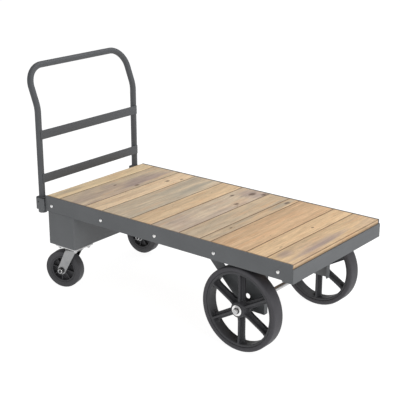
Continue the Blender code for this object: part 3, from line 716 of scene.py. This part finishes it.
def bead(name, start, end, body, seed, normal):
    """A short run of weld between two points: overlapping ripples, half sunk in the joint."""
    rng = random.Random(seed)
    start, end = Vector(start), Vector(end)
    length = (end - start).length
    steps = max(6, int(length / WELD_STEP))
    work = bmesh.new()
    rings = []
    along = (end - start).normalized()
    normal = Vector(normal).normalized()
    side = along.cross(normal)
    for n in range(steps + 1):
        share = n / steps
        from_end = min(share, 1 - share) * length / (WELD_RADIUS * 1.6)
        ease = min(1.0, math.sqrt(max(0.02, from_end)))
        ripple = 1 + 0.10 * math.sin(n * 1.9) + rng.uniform(-0.04, 0.04)
        size = WELD_RADIUS * ease * ripple
        middle = start.lerp(end, share)
        ring = []
        for k in range(WELD_SIDES):
            angle = math.tau * k / WELD_SIDES
            outward = normal * math.cos(angle) + side * math.sin(angle)
            ring.append(work.verts.new(middle + outward * size))
        rings.append(ring)
    skin(work, rings)
    on_handle = body == "handle"
    material = SHADED_HANDLE_PAINT if on_handle else PAINT
    piece(name, work, material, body, None, 60)


# ---- big wheels -------------------------------------------------------------------------------


RIM_INNER = 0.1325
RIM_HALF = 0.0225
RIM_INSET = 0.0002                          # of the casting's outer face, from the CAD's
HUB_RADIUS = 0.0300
SPOKES = 6
SPOKE_HALF = 0.0135
SPOKE_SHEET = 0.0098
RIB_SHEET = 0.0084
HUB_FILLET, RIM_FILLET = 0.010, 0.011       # at the two ends of a spoke
TYRE_INNER = 0.1424
TYRE_SHOULDER = 0.0055


def spoke_web(half, fillet_in, fillet_out, rim):
    """One spoke in the wheel's plane: parallel sides, filleted to its neighbours and the rim."""
    lift_in, lift_out = half + fillet_in, half + fillet_out
    near = lift_in / math.tan(math.pi / 6)
    far = math.sqrt((rim - fillet_out) ** 2 - lift_out ** 2)
    lean = math.degrees(math.asin(lift_out / (rim - fillet_out)))
    edge = [(0.024, 0.013)] + arc((near, lift_in), fillet_in, 210, 270, 4)
    edge += arc((far, lift_out), fillet_out, -90, lean, 6) + [(rim + 0.004, lift_out + 0.003)]
    return both_sides(edge)


def spoked_casting():
    """The wheel's body about the origin, axis along Y: rim band, hub and six ribbed spokes."""
    low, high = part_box("wheel_right_casting")
    outside = (high.z - low.z) / 2 - RIM_INSET
    hub_half = (high.y - low.y) / 2
    bore = 0.0100
    work = bmesh.new()
    rim = [(RIM_INNER, RIM_HALF - 0.0012), (RIM_INNER + 0.0012, RIM_HALF),
           (outside, RIM_HALF + 0.0004)]
    lathe(both_sides(rim), (0, 0, 0), 160, work=work)
    hub = [(bore, hub_half), (HUB_RADIUS - 0.0040, hub_half),
           (HUB_RADIUS - 0.0008, hub_half - 0.0035), (HUB_RADIUS + 0.0008, 0.008)]
    lathe(both_sides(hub), (0, 0, 0), 64, work=work)
    web = spoke_web(SPOKE_HALF, HUB_FILLET, RIM_FILLET, RIM_INNER)
    rib = both_sides([(0.026, 0.0225), (0.046, 0.0190), (0.112, 0.0190), (0.126, 0.0205),
                      (RIM_INNER + 0.002, 0.0222)])
    for n in range(SPOKES):
        turn = Matrix.Rotation(math.tau * n / SPOKES + math.pi / 2, 4, "Y")
        prism(web, SPOKE_SHEET, turn, work)
        prism(rib, RIB_SHEET, turn @ Matrix.Rotation(math.pi / 2, 4, "X"), work)
    return fused("casting", work, voxel=0.0012, rounds=5)


def wall(radius, half, inner, shoulder, steps=6):
    """Section of a tyre or a tread: walls stepped in at the rim, round shoulders, flat tread."""
    upper = [(inner, half - 0.0024), (inner + 0.0010, half - 0.0012),
             (inner + 0.0030, half - 0.0004), (radius - shoulder - 0.0010, half)]
    centre = (half - shoulder, radius - shoulder)
    upper += [(r, y) for y, r in arc(centre, shoulder, 0, 90, steps)]
    return both_sides(upper)


def big_wheels():
    casting = spoked_casting()
    for side in SIDES:
        body = f"wheel_{side}"
        place = joint_place(f"wheel_{side}_spin")
        low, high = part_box(f"wheel_{side}_tyre")
        radius, half = (high.z - low.z) / 2, (high.y - low.y) / 2
        tyre = lathe(wall(radius, half, TYRE_INNER, TYRE_SHOULDER), place, 180)
        piece(f"tyre_{side}", tyre, RUBBER, body, f"wheel_{side}_tyre", 28)
        mesh = moved_copy(casting, Matrix.Translation(place))
        dress(f"spoked_wheel_{side}", mesh, WHEEL_BODY, body, f"wheel_{side}_casting",
              50)
        hub_hardware(side)


WASHER_BORE = 0.0122
PIN_EYE = 0.0036


def hub_hardware(side):
    """Washer, loose round the axle, and a split pin with its two legs spread below the axle."""
    low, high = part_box(f"wheel_{side}_washer")
    place = (low + high) / 2
    half = (high.y - low.y) / 2
    radius = (high.z - low.z) / 2
    ease = 0.0008
    section = both_sides([(WASHER_BORE, half), (radius - ease, half), (radius, half - ease)])
    piece(f"hub_washer_{side}", lathe(section, place, 72), BOLT_ZINC, "root",
          f"wheel_{side}_washer")
    low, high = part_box(f"cotter_pin_{side}")
    x, y = (low.x + high.x) / 2, (low.y + high.y) / 2
    top, bottom = high.z, low.z
    work = bmesh.new()
    loop = []
    for angle in (math.radians(degrees) for degrees in range(-62, 243, 20)):
        height = top - PIN_EYE - 0.0012 + PIN_EYE * math.sin(angle)
        loop.append(Vector((x + PIN_EYE * math.cos(angle), y, height)))
    for leg in (1, -1):
        route = ((0.0009, top - 0.0110), (0.0009, bottom + 0.0075), (0.0018, bottom + 0.0040),
                 (0.0042, bottom + 0.0012))
        sweep([Vector((x + leg * reach, y, height)) for reach, height in route], 0.0008, 10, work)
    sweep(loop, 0.0010, 12, work)
    piece(f"split_pin_{side}", work, ZINC, "root", f"cotter_pin_{side}")


def axle_bar():
    low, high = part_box("axle")
    radius = (high.z - low.z) / 2
    place = ((low.x + high.x) / 2, 0, (low.z + high.z) / 2)
    ease = 0.0012
    bar = lathe([(0, high.y), (radius - ease, high.y), (radius, high.y - ease),
                 (radius, low.y + ease), (radius - ease, low.y), (0, low.y)], place, 48)
    piece("axle_bar", bar, ZINC, "root", "axle")


# ---- casters ----------------------------------------------------------------------------------


LEG_OUTER = 0.0360                          # outer face of a fork leg, from the middle of the wheel
LEG_SHEET = 0.0050
LEG_TOP = -0.0080                           # below the crown's upper face
LEG_TIP_RADIUS = 0.0180
LEG_TIP_SHIFT = (0.0028, 0.0020)            # of the leg's round end, from the axle
CROWN_BORE = 0.0088
CROWN_BEND = 0.0060                         # outer radius where the crown turns into a leg
CROWN_LENGTH = 0.0470
CORE_BAND_HALF = 0.0190
CORE_RIBS = 8
TREAD_HALF = 0.0210
TREAD_INNER = 0.0556
TREAD_SHOULDER = 0.0042


def caster_core():
    """Core about the origin, axis along Y: hub, web, eight ribs and an outer band."""
    low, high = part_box("caster_left_core")
    radius = (high.z - low.z) / 2
    end = LEG_OUTER - LEG_SHEET - 0.0010
    work = bmesh.new()
    hub = [(0.0068, end), (0.0155, end), (0.0180, end - 0.003), (0.0192, 0.006)]
    lathe(both_sides(hub), (0, 0, 0), 48, work=work)
    band = [(0.0476, 0.004), (0.0485, CORE_BAND_HALF - 0.0015), (0.0500, CORE_BAND_HALF),
            (radius, CORE_BAND_HALF)]
    lathe(both_sides(band), (0, 0, 0), 96, work=work)
    web = [(0.0150, 0.0040), (0.0500, 0.0040)]
    lathe(both_sides(web), (0, 0, 0), 64, work=work)
    rib = both_sides([(0.015, 0.0185), (0.030, 0.0140), (0.0490, 0.0160)])
    upright = Matrix.Rotation(math.pi / 2, 4, "X")
    for n in range(CORE_RIBS):
        turn = Matrix.Rotation(math.tau * n / CORE_RIBS + 0.2, 4, "Y")
        prism(rib, 0.0038, turn @ upright, work)
    return fused("caster_core", work, voxel=0.0008, rounds=4)


def fork_mesh(axle):
    """Swivel fork about its swivel axis: crown face at z = 0, axle at a place in the XZ plane.

    The legs' inner faces take a second, far darker zinc: painted shade, as the wheel shades them.
    """
    work = bmesh.new()
    crown = [(CROWN_BORE, 0.0), (0.0330, 0.0), (0.0360, -0.0012), (0.0372, -0.0034),
             (0.0368, -LEG_SHEET), (CROWN_BORE, -LEG_SHEET)]
    lathe(crown, (0, 0, 0), 72, axis="Z", work=work)
    start, top = 0.0095, -0.0004
    shoulder = [(start, top)]
    shoulder += arc((LEG_OUTER - CROWN_BEND, top - CROWN_BEND), CROWN_BEND, 90, 0, 6)
    shoulder += [(LEG_OUTER, -0.0120), (LEG_OUTER - LEG_SHEET, -0.0120),
                 (LEG_OUTER - 0.0060, -0.0072), (LEG_OUTER - 0.0090, -0.0050), (start, -0.0050)]
    tip = (axle.x + LEG_TIP_SHIFT[0], axle.z + LEG_TIP_SHIFT[1])
    leg = [(0.0222, LEG_TOP), (-0.0257, LEG_TOP)] + arc(tip, LEG_TIP_RADIUS, 156, 332, 20)
    middle = LEG_OUTER - LEG_SHEET / 2
    for sign in (1, -1):
        across = Matrix.Rotation(sign * math.pi / 2, 4, "Z")
        prism(shoulder, CROWN_LENGTH, Matrix.Translation((0.0010, 0, 0)) @ across, work)
        prism(leg, LEG_SHEET, Matrix.Translation((0, sign * middle, 0)), work)
    mesh = fused("fork", work, voxel=0.0007, rounds=4)
    mesh.materials.append(FORK_ZINC)
    mesh.materials.append(SHADED_ZINC)
    # the legs' inner faces below the crown get the dark zinc as painted shade
    for face in mesh.polygons:
        inside = abs(face.center.y) < middle and face.normal.y * face.center.y < 0
        if face.center.z < LEG_TOP and inside:
            face.material_index = 1
    return mesh


def casters():
    swivel, axle = joint_place("caster_left_swivel"), joint_place("caster_left_spin")
    trail = (Vector((axle.x, axle.y)) - Vector((swivel.x, swivel.y))).length
    core = caster_core()
    fork = fork_mesh(Vector((-trail, 0, axle.z - swivel.z)))
    for side in SIDES:
        swivel, axle = joint_place(f"caster_{side}_swivel"), joint_place(f"caster_{side}_spin")
        at_swivel = Matrix.Translation(swivel) @ caster_turn(side)
        at_axle = Matrix.Translation(axle) @ caster_turn(side)
        caster_plate(side, swivel)
        dress(f"fork_{side}", moved_copy(fork, at_swivel), FORK_ZINC, f"caster_{side}",
              f"caster_{side}_fork", 45)
        tread = lathe(wall(axle.z, TREAD_HALF, TREAD_INNER, TREAD_SHOULDER), (0, 0, 0), 128)
        piece(f"caster_tread_{side}", moved(tread, at_axle), CASTER_RUBBER,
              f"caster_wheel_{side}", f"caster_{side}_tread", 28)
        dress(f"caster_hub_{side}", moved_copy(core, at_axle), CASTER_BODY,
              f"caster_wheel_{side}", f"caster_{side}_core", 45)
        caster_axle(side, at_axle)


SPACER_RADIUS = 0.0132
RING_NUT_RADIUS = 0.0100
CASTER_BOLT_RADIUS = 0.0060


def caster_axle(side, at_axle):
    """Bolt through the fork with a black spacer and a bright ring nut outside each leg."""
    body = f"caster_{side}"
    leg, nut, end = LEG_OUTER + 0.0003, LEG_OUTER + 0.0082, LEG_OUTER + 0.0107
    half = [(0, end - 0.0032), (0.0056, end - 0.0032), (0.0064, end - 0.0008), (0.0076, end),
            (0.0090, end - 0.0006), (RING_NUT_RADIUS, end - 0.0020), (RING_NUT_RADIUS, nut),
            (CASTER_BOLT_RADIUS, nut)]
    bolt = lathe(both_sides(half), (0, 0, 0), 48)
    piece(f"caster_axle_bolt_{side}", moved(bolt, at_axle), ZINC, body, f"caster_{side}_axle")
    bore, face = 0.0061, nut - 0.0001
    spacer = [(bore, leg), (SPACER_RADIUS, leg), (SPACER_RADIUS, face), (bore, face)]
    cap = [(0, end - 0.0031), (0.0052, end - 0.0031), (0.0046, end - 0.0018), (0, end - 0.0014)]
    rings = bmesh.new()
    for way in (1, -1):
        lathe([(r, way * station) for r, station in spacer], (0, 0, 0), 40, work=rings)
        lathe([(r, way * station) for r, station in cap], (0, 0, 0), 32, work=rings)
    piece(f"caster_axle_spacers_{side}", moved(rings, at_axle), BLACK, body, None)


PLATE_SHEET = 0.0060
RISER_SHEET = 0.0035
RACE_RADIUS = 0.0362
KINGPIN_RADIUS = 0.0080
PLATE_BOLTS = [(dx, dy) for dx in (-0.044, 0.044) for dy in (-0.0375, 0.0375)]
PLATE_NUT_ACROSS = 0.0140
PLATE_BOLT_RADIUS = 0.0050


def caster_plate(side, swivel):
    """Top plate, upper race, kingpin nut, and four bolts through the riser's floor."""
    low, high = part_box(f"caster_{side}_plate")
    under = high.z - PLATE_SHEET
    work = block((low.x, low.y, under), high)
    round_edges(work, 0.0012, 2)
    piece(f"caster_top_plate_{side}", work, ZINC, "root", f"caster_{side}_plate")
    race = [(0, under + 0.002), (0.0340, under + 0.002), (RACE_RADIUS, under - 0.0035),
            (RACE_RADIUS, swivel.z + 0.0040), (0.0330, swivel.z + 0.0008),
            (KINGPIN_RADIUS, swivel.z + 0.0006), (KINGPIN_RADIUS, swivel.z - 0.0056),
            (0, swivel.z - 0.0056)]
    work = lathe(race, (swivel.x, swivel.y, 0), 72, axis="Z")
    hexagon((swivel.x, swivel.y, swivel.z - 0.0054), 0.0210, -0.0075, axis="Z", work=work)
    piece(f"caster_race_{side}", work, RACE_ZINC, "root", f"caster_{side}_plate")
    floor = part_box("riser_box")[0].z + RISER_SHEET
    face = under - 0.0016
    washer = [(0.0052, under), (0.0098, under), (0.0098, face), (0.0052, face)]
    shank = [(0, under - 0.0115), (0.0042, under - 0.0115), (PLATE_BOLT_RADIUS, under - 0.0105),
             (PLATE_BOLT_RADIUS, floor + 0.0045), (0, floor + 0.0045)]
    bolts = bmesh.new()
    for dx, dy in PLATE_BOLTS:
        x, y = swivel.x + dx, swivel.y + dy
        lathe(washer, (x, y, 0), 28, axis="Z", work=bolts)
        hexagon((x, y, face), PLATE_NUT_ACROSS, -0.0070, axis="Z", work=bolts)
        lathe(shank, (x, y, 0), 24, axis="Z", work=bolts)
        hexagon((x, y, floor + 0.0001), PLATE_NUT_ACROSS, 0.0055, axis="Z", work=bolts)
    piece(f"caster_bolts_{side}", bolts, ZINC, "root", None)


# ---- handle -----------------------------------------------------------------------------------


def rounded_path(points, radii, steps):
    """A route through points with each inner corner turned on an arc of the given radius."""
    path = [points[0]]
    for before, corner, after, radius in zip(points, points[1:], points[2:], radii):
        back, ahead = (before - corner).normalized(), (after - corner).normalized()
        half = back.angle(ahead) / 2
        centre = corner + (back + ahead).normalized() * radius / math.sin(half)
        start = corner + back * radius / math.tan(half) - centre
        axis = ahead.cross(back).normalized()
        turn = math.pi - 2 * half
        path += [centre + Matrix.Rotation(turn * n / steps, 3, axis) @ start
                 for n in range(steps + 1)]
    return path + [points[-1]]


TUBE_RADIUS = 0.0130
TUBE_INSET = 0.0001
BEND_Z = 0.7446                             # the posts lean back above this height
BEND_RADIUS = 0.119
CORNER_RADIUS = 0.0814


def handle():
    low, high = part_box("handle_frame")
    sleeve_low, sleeve_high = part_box("socket_sleeve_left")
    post = (sleeve_low + sleeve_high) / 2
    top_z, lean_x = high.z - TUBE_RADIUS, low.x + TUBE_RADIUS
    right = [Vector((post.x, -post.y, low.z + 0.0002)), Vector((post.x, -post.y, BEND_Z)),
             Vector((lean_x, -post.y, top_z))]
    left = [Vector((p.x, -p.y, p.z)) for p in reversed(right)]
    path = rounded_path(
        right + left, (BEND_RADIUS, CORNER_RADIUS, CORNER_RADIUS, BEND_RADIUS), 20)
    tube = sweep(path, TUBE_RADIUS - TUBE_INSET, 40)
    piece("handle_tube", tube, SHADED_HANDLE_PAINT, "handle", "handle_frame", 60)
    for name in ("crossbar_lower", "crossbar_upper"):
        bar_low, bar_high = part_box(name)
        work = round_edges(block(bar_low, bar_high), 0.0009, 3)
        piece(name.replace("crossbar", "flat_bar"), work, SHADED_HANDLE_PAINT, "handle", name)
        front = bar_low.x - 0.0004
        for side, sign in SIDES.items():
            for label, z, up in (("top", bar_high.z, 1), ("foot", bar_low.z, -1)):
                start = (front, sign * (post.y - 0.007), z)
                end = (front, sign * (post.y + 0.004), z)
                bead(f"{name}_weld_{label}_{side}", start, end, "handle",
                     f"{name}{side}{label}", (1, 0, up))


SOCKET_BORE = 0.0133
STRAP_SHEET = 0.004
STRAP_CORNER = 0.016
SCREW_DROP = 0.015                          # of the set screw, below the strap's top


def sockets():
    """Round sleeves, the straps round them and a set screw in each strap's outer side."""
    for side, sign in SIDES.items():
        low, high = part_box(f"socket_sleeve_{side}")
        x, y = (low.x + high.x) / 2, (low.y + high.y) / 2
        radius = (high.x - low.x) / 2
        sleeve = lathe(
            [(0, low.z + 0.004), (SOCKET_BORE, low.z + 0.004), (SOCKET_BORE, high.z - 0.0006),
             (SOCKET_BORE + 0.0006, high.z), (radius - 0.0008, high.z), (radius, high.z - 0.0008),
             (radius, low.z + 0.0035), (radius - 0.0010, low.z + 0.0010),
             (radius - 0.0035, low.z), (0, low.z)],
            (x, y, 0), 72, axis="Z")
        piece(f"sleeve_{side}", sleeve, PAINT, "root", f"socket_sleeve_{side}")
        strap_low, strap_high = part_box(f"socket_strap_{side}")
        strap_band(side, x, y, strap_low, strap_high)
        screw = lathe([(0, 0.0), (0.0034, 0.0), (0.0042, -0.0007), (0.0042, -0.004), (0, -0.004)],
                      (0, 0, 0), 24)
        hexagon((0, 0.0001, 0), 0.0040, -0.0015, work=screw)
        outer = strap_high.y if sign > 0 else strap_low.y
        spot = Matrix.Translation((x, outer, strap_high.z - SCREW_DROP))
        turn = Matrix.Identity(4) if sign > 0 else Matrix.Rotation(math.pi, 4, "Z")
        piece(f"set_screw_{side}", moved(screw, spot @ turn), BLACK, "root", None)


def strap_band(side, x, y, low, high):
    """U-shaped strap with round corners and eased edges, closed against the end rail."""
    half = (high.y - low.y) / 2
    reach = high.x - x

    def loop(size, radius):
        upper = arc((-size + radius, size - radius), radius, 90, 180, 10)
        lower = arc((-size + radius, -size + radius), radius, 180, 270, 10)
        return [(reach, size)] + upper + lower + [(reach, -size)]

    inside = loop(half - STRAP_SHEET, STRAP_CORNER - STRAP_SHEET)
    outline = loop(half, STRAP_CORNER) + inside[::-1]
    height = high.z - low.z
    middle = Matrix.Translation((x, y, (low.z + high.z) / 2))
    work = prism(outline, height, middle @ Matrix.Rotation(math.pi / 2, 4, "X"))
    round_edges(work, 0.0007, 2, 40)
    piece(f"strap_{side}", work, PAINT, "root", f"socket_strap_{side}", 40)
    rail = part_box("end_rail_rear")[0].x
    for label, level in (("upper", half), ("lower", -half)):
        spot = (rail - 0.0004, y + level * 0.94)
        bead(f"strap_weld_{label}_{side}", (*spot, low.z + 0.003), (*spot, high.z - 0.003),
             "root", f"strap{side}{label}", (-1, math.copysign(1, level), 0))


# ---- studio -----------------------------------------------------------------------------------


PAPER_SIZE = 400
LIGHT_AIM = (0, 0, 0.35)
HAZE = (0.03, 0.16, 1.0, 0.38)              # sky: two heights, and the strength at each
CAMERA_PLACE = (2.31665, -2.88162, 1.65005)
CAMERA_LOOK = (-0.59111, 0.74117, -0.31821)
CAMERA_LENS = 89.54


def studio():
    """White paper floor, a pale sky that is brightest at the horizon, and two soft lights."""
    bpy.ops.mesh.primitive_plane_add(size=PAPER_SIZE, location=(0, 0, 0))
    floor = bpy.context.object
    floor.name = "studio_floor"
    floor.data.materials.append(backdrop_white("studio_paper"))
    world = bpy.data.worlds.new("studio")
    bpy.context.scene.world = world
    world.use_nodes = True
    nodes, links = world.node_tree.nodes, world.node_tree.links
    split = nodes.new("ShaderNodeSeparateXYZ")
    links.new(nodes.new("ShaderNodeTexCoord").outputs["Generated"], split.inputs[0])
    fade = nodes.new("ShaderNodeMapRange")
    for value, socket in zip(HAZE, fade.inputs[1:5]):
        socket.default_value = value
    links.new(split.outputs["Z"], fade.inputs[0])
    links.new(fade.outputs[0], nodes["Background"].inputs["Strength"])
    nodes["Background"].inputs["Color"].default_value = (1, 1, 1, 1)
    area_light("overhead", (0.1, 1.2, 2.6), size=2.2, power=29)
    area_light("front", (3.6, -1.0, 2.2), size=2.4, power=70)
    bpy.context.scene.view_settings.view_transform = "Standard"


def area_light(name, place, size, power):
    light = bpy.data.lights.new(name, "AREA")
    light.shape = "DISK"
    light.size = size
    light.energy = power
    lamp = bpy.data.objects.new(name, light)
    lamp.location = place
    aim = Vector(LIGHT_AIM) - Vector(place)
    lamp.rotation_euler = aim.to_track_quat("-Z", "Y").to_euler()
    bpy.context.scene.collection.objects.link(lamp)


def camera():
    data = bpy.data.cameras.new("camera")
    data.lens = CAMERA_LENS
    data.sensor_width = 36
    lens = bpy.data.objects.new("camera", data)
    lens.location = CAMERA_PLACE
    lens.rotation_euler = Vector(CAMERA_LOOK).to_track_quat("-Z", "Y").to_euler()
    bpy.context.scene.collection.objects.link(lens)
    bpy.context.scene.camera = lens


# ---- the whole scene --------------------------------------------------------------------------
camera()
studio()
deck()
frame_steel()
side_bolts()
big_wheels()
axle_bar()
casters()
handle()
sockets()
